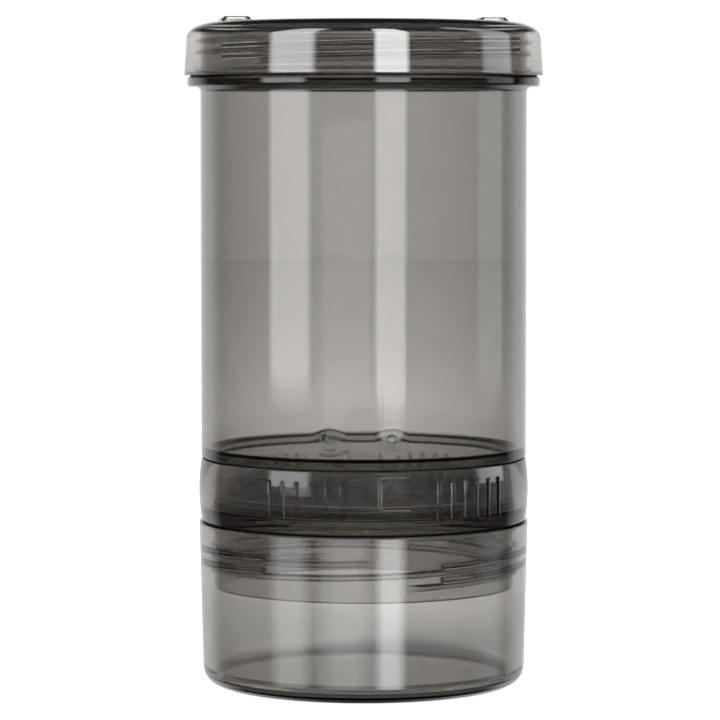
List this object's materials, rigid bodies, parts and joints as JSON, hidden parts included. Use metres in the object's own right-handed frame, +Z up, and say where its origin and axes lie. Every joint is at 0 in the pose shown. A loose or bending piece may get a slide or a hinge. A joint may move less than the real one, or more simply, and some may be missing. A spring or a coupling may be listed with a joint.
{
  "type": "cricket dusting shaker",
  "caption": "Smoky clear shaker: a powder cup, a ribbed twist-lock collar over a sieve disc, a tall insect chamber and a screw lid, sealed with soft rings.",
  "frame": {"origin": "centre of the powder cup's flat underside, on the shaker's axis", "axes": "+Z up the shaker's axis from cup to lid; -Y to the front, where the collar's tick mark and the shut padlock sign are"},
  "size_m": [0.099, 0.099, 0.1839],
  "materials": {
    "cup_smoke": "clear smoky moulded plastic",
    "chamber_smoke": "clear smoky moulded plastic",
    "collar_smoke": "clear smoky moulded plastic",
    "lid_smoke": "clear smoky moulded plastic",
    "sieve_grey": "clear smoky moulded plastic, lightly frosted",
    "clear_silicone": "milky clear soft seal"
  },
  "bodies": {
    "cup": {"powder_cup": "cup_smoke"},
    "cup_seal": {"cup_gasket": "clear_silicone"},
    "collar": {"lock_collar": "collar_smoke", "sieve_disc": "sieve_grey", "chamber_gasket": "clear_silicone"},
    "chamber": {"insect_chamber": "chamber_smoke"},
    "lid_seal": {"lid_gasket": "clear_silicone"},
    "lid": {"lid": "lid_smoke"}
  },
  "joints": [
    {"name": "collar_lift", "type": "slide", "parent": "cup", "child": "cup_seal", "axis": [0, 0, 1], "range_m": [0, 0.00981]},
    {"name": "collar_turn", "type": "hinge", "parent": "cup_seal", "child": "collar", "pos_m": [0, 0, 0.0453], "axis": [0, 0, 1], "range_deg": [0, 490]},
    {"name": "chamber_twist", "type": "hinge", "parent": "collar", "child": "chamber", "pos_m": [0, 0, 0.06285], "axis": [0, 0, 1], "range_deg": [0, 21]},
    {"name": "lid_lift", "type": "slide", "parent": "chamber", "child": "lid_seal", "axis": [0, 0, 1], "range_m": [0, 0.00601]},
    {"name": "lid_turn", "type": "hinge", "parent": "lid_seal", "child": "lid", "pos_m": [0, 0, 0.1678], "axis": [0, 0, 1], "range_deg": [0, 360]}
  ],
  "couplings": [
    {"joint": "collar_lift", "follows": "collar_turn", "m_per_rad": 0.0011459},
    {"joint": "lid_lift", "follows": "lid_turn", "m_per_rad": 0.00095493}
  ]
}
